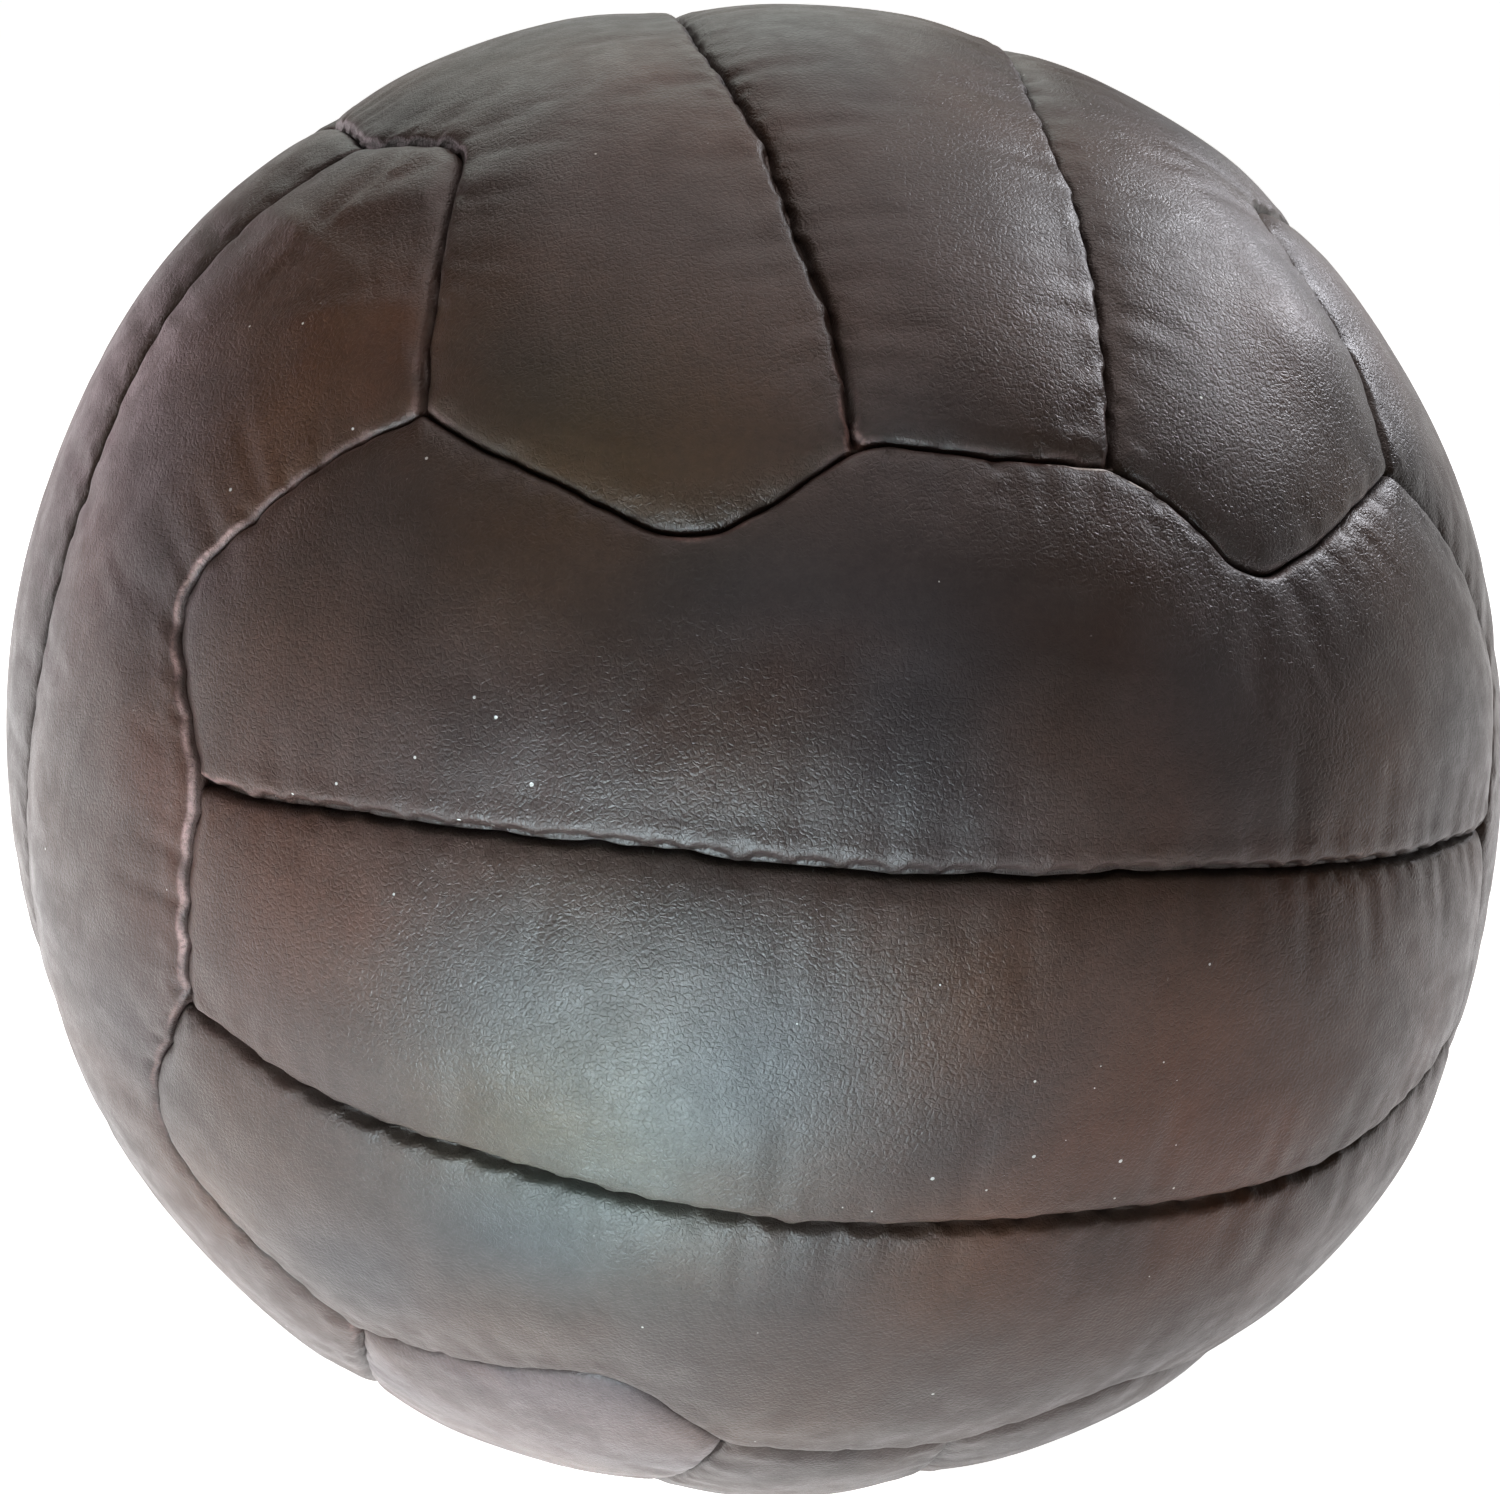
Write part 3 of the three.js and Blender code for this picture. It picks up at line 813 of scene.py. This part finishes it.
THREAD_MM = 0.42  # radius
THREAD_STEP_MM = 0.45
THREAD_TWIST_MM = 3.4  # length of one turn of its two plies
THREAD_SIDES = 10
THREAD_END_MM = 2.5
THREAD_SWING_MM = 0.7  # from lip to lip
THREAD_DIP_MM = 1.0  # between the stitches
KNOT_SWELL, KNOT_MM = 0.8, 0.9


def tube(path, radii):
    """(points, faces) of a twisted two-ply thread of these radii along a path, closed at both ends."""
    tangent = unit(np.gradient(path, axis=0))
    outwards = unit(path - tangent * (path * tangent).sum(1, keepdims=True))
    sideways = np.cross(tangent, outwards)
    turns = np.arange(len(path))[:, None] * (THREAD_STEP_MM / THREAD_TWIST_MM * 2 * math.pi)
    angle = np.arange(THREAD_SIDES) * (2 * math.pi / THREAD_SIDES)
    ply = radii[:, None] * (0.78 + 0.22 * abs(np.cos(angle - turns / 2)))
    ring = outwards[:, None] * np.cos(angle)[:, None] + sideways[:, None] * np.sin(angle)[:, None]
    points = (path[:, None] + ring * ply[..., None]).reshape(-1, 3)
    index = np.arange(len(points)).reshape(len(path), THREAD_SIDES)
    faces = ring_faces(index)[:, FLIPPED].tolist()
    return points, [*faces, index[0].tolist(), index[-1, ::-1].tolist()]


def seam_thread(seam):
    """The thread of one seam, crossing from lip to lip under the leather's edge at every stitch."""
    length = seam.length[-1]
    along = np.linspace(THREAD_END_MM, length - THREAD_END_MM, round(length / THREAD_STEP_MM))
    line = np.stack([np.interp(along, seam.length, axis) for axis in seam.line.T], axis=1)
    across = np.stack([np.interp(along, seam.length, axis) for axis in seam.sideways.T], axis=1)
    stitch = np.interp(along, seam.stitches, np.arange(len(seam.stitches)))
    swing = np.sin(math.pi * (stitch + 0.5))
    tuck = TUCK_MM * (TUCK_LEVEL + TUCK_LEAN * abs(seam.raised(1, along)))
    under_stitch = 0.5 - 0.5 * np.cos(2 * math.pi * stitch)
    depth = seam.groove + SHOULDER_MM + SWELL_MM + tuck + THREAD_DIP_MM * under_stitch
    radius = RADIUS_MM + out_of_round(line * RADIUS_MM) - depth
    sway = seam.swayed(along) + THREAD_SWING_MM * swing
    path = settled(unit(line * RADIUS_MM + across * sway[:, None]) * radius[:, None], 1.5)
    knots = ridge(along, along[0], KNOT_MM) + ridge(along, along[-1], KNOT_MM)
    piece = made(f"stitching_{seam.name}", *tube(path, THREAD_MM * (1 + KNOT_SWELL * knots)))
    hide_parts(seam.name)
    return piece


BAG_MM = 130.0
BAG_CLOTH_MM = 1.2
BAG_MOUTH_MM = 22.0
STUFFING_MM = 128.0
BAG_RINGS, BAG_STEPS = 150, 260
BAG_FOLDS, BAG_FOLD_MM, BAG_FOLD_REACH = 31, 0.8, 0.22  # round the mouth; the reach is in radians


def ball_rings(polar, height):
    """Rings of points round the front-to-back axis, at these angles from the front and these radii."""
    turn = np.linspace(0, 2 * math.pi, BAG_STEPS, endpoint=False)
    polar, turn = np.meshgrid(polar, turn, indexing="ij")
    ways = np.stack([np.sin(polar) * np.cos(turn), -np.cos(polar), np.sin(polar) * np.sin(turn)], -1)
    return ways * height(ways, polar, turn)[..., None]


def pole_to_pole(name, rings):
    """A closed piece from rings of points, each end drawn together into a pole."""
    rows, columns = rings.shape[:2]
    index = np.arange(rows * columns).reshape(rows, columns)
    beside = np.roll(index, -1, axis=1)
    first, last = rows * columns, rows * columns + 1
    fans = [(first, b, a) for a, b in zip(index[0], beside[0])]
    fans += [(last, a, b) for a, b in zip(index[-1], beside[-1])]
    poles = [rings[0].mean(axis=0), rings[-1].mean(axis=0)]
    points = np.vstack([rings.reshape(-1, 3), poles])
    return made(name, points, [*ring_faces(index).tolist(), *fans])


def inner_bag():
    """The cotton bag that holds the stuffing, gathered round its mouth at the back."""
    mouth = math.pi - math.asin(BAG_MOUTH_MM / BAG_MM)
    polar = np.linspace(0.01, mouth, BAG_RINGS)

    def height(ways, polar, turn):
        near_mouth = fading(mouth - polar, BAG_FOLD_REACH)
        folds = np.cos(BAG_FOLDS * turn + 1.5 * np.sin(3 * turn)) * BAG_FOLD_MM * near_mouth
        large, small = (noise(ways * BAG_MM, seed, size) for seed, size in zip(BAG_SEEDS, (34, 11)))
        crumpled = large * 0.35 + small * 0.12
        return BAG_MM - 0.9 + folds + crumpled

    outer = ball_rings(polar, height)
    inner = outer - unit(outer) * BAG_CLOTH_MM
    piece = pole_to_pole("cotton_bag", np.vstack([outer, inner[::-1]]))
    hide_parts("inner_bag")
    return piece


def stuffing():
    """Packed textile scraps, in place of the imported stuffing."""
    polar = np.linspace(0.01, math.pi - 0.01, BAG_RINGS)

    def height(ways, polar, turn):
        large, small = (noise(ways * STUFFING_MM, seed, size) for seed, size in zip(SCRAP_SEEDS, (26, 7)))
        scraps = large * 0.8 + small * 0.35
        return STUFFING_MM - 1.6 + scraps

    piece = pole_to_pole("packed_scraps", ball_rings(polar, height))
    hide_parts("textile_stuffing")
    return piece


# ---- Materials ----


class Nodes:
    """A material's nodes, added one by one; each call gives the new node's output."""

    def __init__(self, name):
        self.material = bpy.data.materials.new(name)
        self.material.use_nodes = True
        self.tree = self.material.node_tree
        self.shader = self.tree.nodes["Principled BSDF"]
        self.place = self.add("TexCoord", "Object")

    def add(self, kind, output, inputs=(), **settings):
        """A new node with these settings; inputs are (name or number, value or another output)."""
        node = self.tree.nodes.new("ShaderNode" + kind)
        for key, value in settings.items():
            setattr(node, key, value)
        for socket, value in inputs:
            self.put(node.inputs[socket], value)
        return node.outputs[output]

    def put(self, socket, value):
        """Links an output to a socket, or sets the socket."""
        if isinstance(value, bpy.types.NodeSocket):
            self.tree.links.new(value, socket)
        else:
            socket.default_value = value

    def set(self, **values):
        """Sets the shader's sockets, named with _ for each space."""
        for key, value in values.items():
            self.put(self.shader.inputs[key.replace("_", " ")], value)

    def attribute(self, name, output="Fac"):
        """A number or a colour that paint() kept for every point."""
        return self.add("Attribute", output, attribute_name=name)

    def noise(self, size_mm, detail=3, roughness=0.55):
        """Noise of 0 to 1 with features of about this size."""
        scale = 1 / (size_mm * MM)
        inputs = [("Vector", self.place), ("Scale", scale), ("Detail", detail), ("Roughness", roughness)]
        return self.add("TexNoise", "Fac", inputs)

    def cells(self, size_mm, feature, output, place=None):
        """Irregular cells of about this size."""
        inputs = [("Vector", place or self.place), ("Scale", 1 / (size_mm * MM))]
        return self.add("TexVoronoi", output, inputs, feature=feature)

    def math(self, operation, a, b=0.0, c=0.0):
        """One step of arithmetic."""
        return self.add("Math", 0, [(0, a), (1, b), (2, c)], operation=operation)

    def span(self, value, low, high, to_low=0.0, to_high=1.0):
        """value's range low to high, mapped smoothly to another range."""
        inputs = [(0, value), (1, low), (2, high), (3, to_low), (4, to_high)]
        return self.add("MapRange", 0, inputs, interpolation_type="SMOOTHSTEP")

    def blend(self, factor, a, b, how="MIX"):
        """Colours a and b mixed by a factor."""
        inputs = [(0, factor), (6, a), (7, b)]
        return self.add("Mix", 2, inputs, data_type="RGBA", blend_type=how)

    def bump(self, height, depth_mm, strength=1.0, under=None):
        """A bump from a height of 0 to 1."""
        inputs = [("Height", height), ("Distance", depth_mm * MM), ("Strength", strength)]
        if under is not None:
            inputs.append(("Normal", under))
        return self.add("Bump", "Normal", inputs)


def grey(value):
    """A linear grey."""
    return (value, value, value, 1.0)


# Linear colours. The reddened one multiplies the dye.
REDDENED = (1.35, 0.95, 0.78, 1)
# painted shade: the colour laid into the seams' grooves
SEAM_SHADE_COLOUR = (0.016, 0.012, 0.010, 1)
RUBBED = (0.44, 0.27, 0.25, 1)
FRAYED = (0.85, 0.84, 0.82, 1)
DUSTY = (0.62, 0.62, 0.60, 1)
SPECK_MM = 2.4  # about one dust speck in every cell of this size, where all are kept
GRAIN_MM, GRAIN_DEPTH_MM = 0.95, 0.035
PORE_MM, PORE_DEPTH_MM = 0.6, 0.15


def dyed(n):
    """The dye's colour with its painted sheen, shade and highlight tint, mottled, and reddened in places.
    """
    mottle = n.span(n.noise(16, 5, 0.6), 0.25, 0.75, 0.82, 1.18)
    speckle = n.span(n.noise(1.4, 5, 0.8), 0.25, 0.75, 0.80, 1.20)
    tone = n.math("MULTIPLY", mottle, speckle)
    colour = n.blend(1.0, n.attribute("tint", "Color"), tone, "MULTIPLY")
    reddened = n.span(n.noise(30, 2), 0.52, 0.75, 0.0, 0.35)
    return n.blend(reddened, colour, n.blend(1.0, colour, REDDENED, "MULTIPLY"))


def worn_and_seam_shaded(n, colour, rub):
    """A colour with painted shade in the seams, pale rubbed and frayed edges, and specks of dust."""
    # painted shade darkens the colour in each seam's groove
    colour = n.blend(n.math("MULTIPLY", n.attribute("seam_shade"), 0.65), colour, SEAM_SHADE_COLOUR)
    colour = n.blend(n.math("MULTIPLY", rub, 0.85), colour, RUBBED)
    fray = n.span(n.math("ADD", n.attribute("fray"), n.noise(1.2, 2)), 0.75, 1.0)
    colour = n.blend(fray, colour, FRAYED)
    size = n.span(n.noise(3, 1), 0.3, 0.7, 0.04, 0.14)
    speck = n.math("LESS_THAN", n.cells(SPECK_MM, "F1", "Distance"), size)
    share = n.math("ADD", n.math("MULTIPLY", n.attribute("dust"), 0.4), 0.1)
    kept = n.math("LESS_THAN", n.cells(SPECK_MM, "F1", "Color"), share)
    return n.blend(n.math("MULTIPLY", speck, kept), colour, DUSTY)


def grained(n):
    """The hide's pores and grain, over its slight unevenness."""
    shift = n.math("MULTIPLY", n.noise(1.6, 2), 0.0012)
    warped = n.add("VectorMath", 0, [(0, n.place), (1, shift)], operation="ADD")
    grain = n.span(n.cells(GRAIN_MM, "DISTANCE_TO_EDGE", "Distance", warped), 0.0, 0.2)
    pores = n.noise(PORE_MM, 3, 0.65)
    hand = n.bump(n.noise(5, 3), 0.10)
    fine = n.bump(grain, GRAIN_DEPTH_MM, 1.0, hand)
    return n.bump(pores, PORE_DEPTH_MM, 1.0, fine)


def leather_material():
    """Dyed cowhide, mottled and satiny, with a fine grain and pale rubbed edges."""
    n = Nodes("aged_leather")
    rub = n.math("MULTIPLY", n.attribute("rub"), n.span(n.noise(0.9, 3, 0.7), 0.35, 0.6, 0.5, 1.0))
    rough = n.span(n.noise(7, 4, 0.65), 0.3, 0.7, 0.32, 0.46)
    rough = n.math("ADD", rough, n.math("MULTIPLY", rub, 0.35))
    n.set(Base_Color=worn_and_seam_shaded(n, dyed(n), rub), Roughness=rough, Normal=grained(n), IOR=1.5)
    return n.material


def thread_material():
    """Waxed linen thread, darkened by use."""
    n = Nodes("waxed_thread")
    worn = n.span(n.noise(9, 3), 0.55, 0.7)
    colour = n.blend(worn, (0.045, 0.032, 0.024, 1), (0.16, 0.13, 0.10, 1))
    fibres = n.noise(0.3, 3, 0.7)
    n.set(Base_Color=colour, Roughness=n.span(fibres, 0.3, 0.7, 0.45, 0.65), Normal=n.bump(fibres, 0.05))
    return n.material


def canvas_material():
    """Plain-woven unbleached cotton."""
    n = Nodes("bag_canvas")
    bands = [("Vector", n.place), ("Scale", 160), ("Distortion", 0.6)]
    waves = [n.add("TexWave", "Fac", bands, bands_direction=way) for way in ("X", "Z")]
    weave = n.math("MAXIMUM", *waves)
    flecks = n.span(n.noise(4, 4, 0.7), 0.35, 0.7)
    colour = n.blend(flecks, (0.52, 0.45, 0.33, 1), (0.38, 0.31, 0.21, 1))
    # painted shade: darker between the threads, where the weave is low
    colour = n.blend(n.span(weave, 0, 1, 0.5, 0), colour, (0.22, 0.18, 0.12, 1))
    n.set(Base_Color=colour, Roughness=n.span(weave, 0, 1, 0.95, 0.8), Normal=n.bump(weave, 0.25))
    return n.material


def scraps_material():
    """Packed scraps of many cloths."""
    n = Nodes("textile_fill")
    scrap = n.cells(17, "F1", "Color")
    cloth = n.blend(0.75, scrap, (0.35, 0.33, 0.30, 1))
    fluff = n.noise(1.3, 5, 0.75)
    colour = n.blend(n.span(fluff, 0.3, 0.7), n.blend(1.0, cloth, grey(0.55), "MULTIPLY"), cloth)
    edges = n.span(n.cells(17, "DISTANCE_TO_EDGE", "Distance"), 0, 0.12)
    n.set(
        Base_Color=colour,
        Roughness=n.span(fluff, 0.3, 0.7, 1.0, 0.85),
        Normal=n.bump(n.math("ADD", edges, fluff), 0.8),
    )
    return n.material


def floor_material():
    """White paper that glows like a light table: brighter at the left, dark in front of the ball."""
    n = Nodes("white_floor")
    x, y = (n.add("SeparateXYZ", axis, [(0, n.place)]) for axis in ("X", "Y"))
    far = n.span(n.add("VectorMath", "Value", [(0, n.place)], operation="LENGTH"), *FAR_M)
    near = n.span(x, *LEFT_TO_RIGHT_M, GLOW_LEFT, GLOW_NEAR)
    behind = n.math("ADD", near, n.math("MULTIPLY", far, n.math("SUBTRACT", GLOW_FAR, near)))
    glow = n.math("MULTIPLY", n.span(y, *FRONT_TO_BACK_M), behind)
    paper = n.noise(3, 3)
    n.set(Base_Color=n.blend(paper, grey(0.78), grey(0.82)), Roughness=0.9)
    n.set(Emission_Color=(1.0, 1.0, 1.0, 1), Emission_Strength=glow)
    return n.material


# ---- Camera, light and floor ----

FLOOR_FLAT = 6.0  # radius of the flat part of the floor, in metres
FLOOR_EDGE = 9.0  # radius of its turned-up edge
FLOOR_RISE = 1.5
FLOOR_DROP = 0.0004  # keeps the floor clear of the flattened leather
GLOW_LEFT, GLOW_NEAR, GLOW_FAR = 1.75, 0.66, 0.95  # the floor's glow; there is none in front of the ball
LEFT_TO_RIGHT_M, FRONT_TO_BACK_M, FAR_M = (-0.05, 0.12), (-0.30, -0.07), (0.4, 0.9)  # where it changes
ROOM_LIGHT = (0.057, 0.045, 0.025)

# The camera: its axes, its distance and place across the view in ball radii, and its lens and film in mm.
CAMERA_RIGHT = np.array([0.9684, -0.22244, 0.11279])
CAMERA_UP = np.array([-0.03342, 0.33244, 0.94253])
CAMERA_DISTANCE = 3.526
CAMERA_ACROSS, CAMERA_ABOVE = -0.00723, 0.00194
LENS_MM, FILM_MM = 60.8, 36

# Soft lamps: name, place, what it points at, width, height in metres, power in watts and colour.
LAMPS = (
    ("overhead", (0, 0.2, 1.6), (0, 0, 0.14), 1.6, 1.6, 11.8, (1.0, 0.85, 0.83)),
    ("behind", (0, 1.6, 1.2), (0, 0, 0.14), 1.5, 1.0, 6.3, (0.92, 1.0, 0.96)),
    ("left_behind", (-0.9, 1.0, 0.25), (0, 0, 0.14), 1.0, 0.4, 1.2, (1.0, 0.6, 0.75)),
    ("right_high", (0.72, 0.36, 0.99), (0.05, -0.02, 0.2), 0.2, 0.2, 3.2, (0.93, 0.95, 1.0)),
    ("right", (0.87, 0.40, 0.79), (0.05, -0.02, 0.2), 0.13, 0.13, 4.2, (0.93, 0.93, 1.0)),
)
# A spot on the floor in front, whose glow the lower part of the ball reflects.
POOL_LAMP, POOL, POOL_WATTS, POOL_ANGLE = (0.0, -1.6, 0.9), (-0.158, -0.44, 0.0), 5000, 11
POOL_COLOUR = (0.76, 0.93, 1.0)
POOL_LAMP_SIZE = 0.03


def make_camera():
    """The camera, a little above the ball and to its left, tipped slightly."""
    back = np.cross(CAMERA_RIGHT, CAMERA_UP)
    axes = np.column_stack([CAMERA_RIGHT, CAMERA_UP, back])
    place = CENTRE + axes @ [CAMERA_ACROSS, CAMERA_ABOVE, CAMERA_DISTANCE] * RADIUS_MM * MM
    data = bpy.data.cameras.new("camera")
    data.sensor_width = FILM_MM
    data.lens = LENS_MM
    camera = in_scene("camera", data)
    camera.matrix_world = Matrix.Translation(Vector(place)) @ Matrix(axes.tolist()).to_4x4()
    bpy.context.scene.camera = camera


def make_floor():
    """The plain white floor, whose far edge sweeps up out of sight."""
    radii = np.concatenate([[0.4, 2.0], np.linspace(FLOOR_FLAT, FLOOR_EDGE, 12)])
    rise = ((radii - FLOOR_FLAT).clip(0) / (FLOOR_EDGE - FLOOR_FLAT)) ** 2 * FLOOR_RISE
    turn = np.linspace(0, 2 * math.pi, 64, endpoint=False)
    flat = np.stack([np.outer(radii, np.cos(turn)), np.outer(radii, np.sin(turn))], -1)
    height = np.repeat((rise + CAD_LOW[2] - FLOOR_DROP)[:, None], len(turn), axis=1)
    points = np.concatenate([flat, height[..., None]], -1)
    index = np.arange(points.size // 3).reshape(points.shape[:2])
    faces = [index[0].tolist(), *ring_faces(index)[:, FLIPPED].tolist()]
    mesh = bpy.data.meshes.new("floor")
    mesh.from_pydata(points.reshape(-1, 3).tolist(), [], faces)
    mesh.materials.append(floor_material())
    in_scene("floor", mesh)


def hang(data, place, target):
    """Puts a lamp at a place, pointed at a target."""
    lamp = in_scene(data.name, data)
    lamp.location = place
    way = Vector(target) - Vector(place)
    lamp.rotation_euler = way.to_track_quat("-Z", "Y").to_euler()


def make_lamp(name, place, target, width, height, watts, colour):
    """One soft rectangular lamp."""
    data = bpy.data.lights.new(name, "AREA")
    data.shape = "RECTANGLE"
    data.size, data.size_y = width, height
    data.energy = watts
    data.color = colour
    hang(data, place, target)


def make_pool():
    """The spot lamp over the floor in front of the ball."""
    data = bpy.data.lights.new("pool", "SPOT")
    data.energy = POOL_WATTS
    data.color = POOL_COLOUR
    data.spot_size = math.radians(POOL_ANGLE)
    data.spot_blend = 1.0
    data.shadow_soft_size = POOL_LAMP_SIZE
    hang(data, POOL_LAMP, POOL)


def make_room():
    """The dim room beyond the lamps."""
    world = bpy.data.worlds.new("room")
    world.use_nodes = True
    world.node_tree.nodes["Background"].inputs["Color"].default_value = (*ROOM_LIGHT, 1)
    bpy.context.scene.world = world
    bpy.context.scene.view_settings.view_transform = "Standard"


make_camera()
make_room()
make_floor()
for lamp in LAMPS:
    make_lamp(*lamp)
make_pool()

strips, seams = make_cover()
threads = [seam_thread(seam) for seam in seams]
for pieces, material in (
    (strips, leather_material()),
    (threads, thread_material()),
    ([inner_bag()], canvas_material()),
    ([stuffing()], scraps_material()),
):
    for piece in pieces:
        piece.data.materials.append(material)
